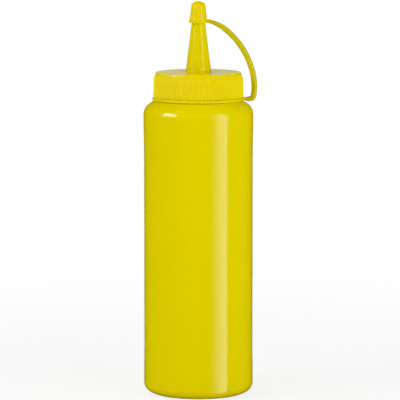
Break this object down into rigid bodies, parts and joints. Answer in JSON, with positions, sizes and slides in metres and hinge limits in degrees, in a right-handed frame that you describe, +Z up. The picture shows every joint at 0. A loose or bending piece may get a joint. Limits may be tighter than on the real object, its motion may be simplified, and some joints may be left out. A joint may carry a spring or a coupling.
{
  "type": "squeeze bottle",
  "caption": "Round plastic squeeze bottle for sauce, with a ribbed screw cap, a conical nozzle and a small tip cap on a curved strap.",
  "frame": {"origin": "middle of the base, on the plane that the bottle stands on", "axes": "+Z up along the bottle's axis; +X towards the side that the strap arches out to"},
  "size_m": [0.0731, 0.0706, 0.253],
  "materials": {
    "bottle_plastic": "semi-gloss moulded yellow polyethylene",
    "cap_plastic": "semi-gloss moulded yellow polyethylene, a little warmer",
    "tether_plastic": "semi-gloss moulded yellow polyethylene"
  },
  "bodies": {
    "root": {"bottle": "bottle_plastic", "screw_cap": "cap_plastic", "tether": "tether_plastic"}
  },
  "joints": []
}
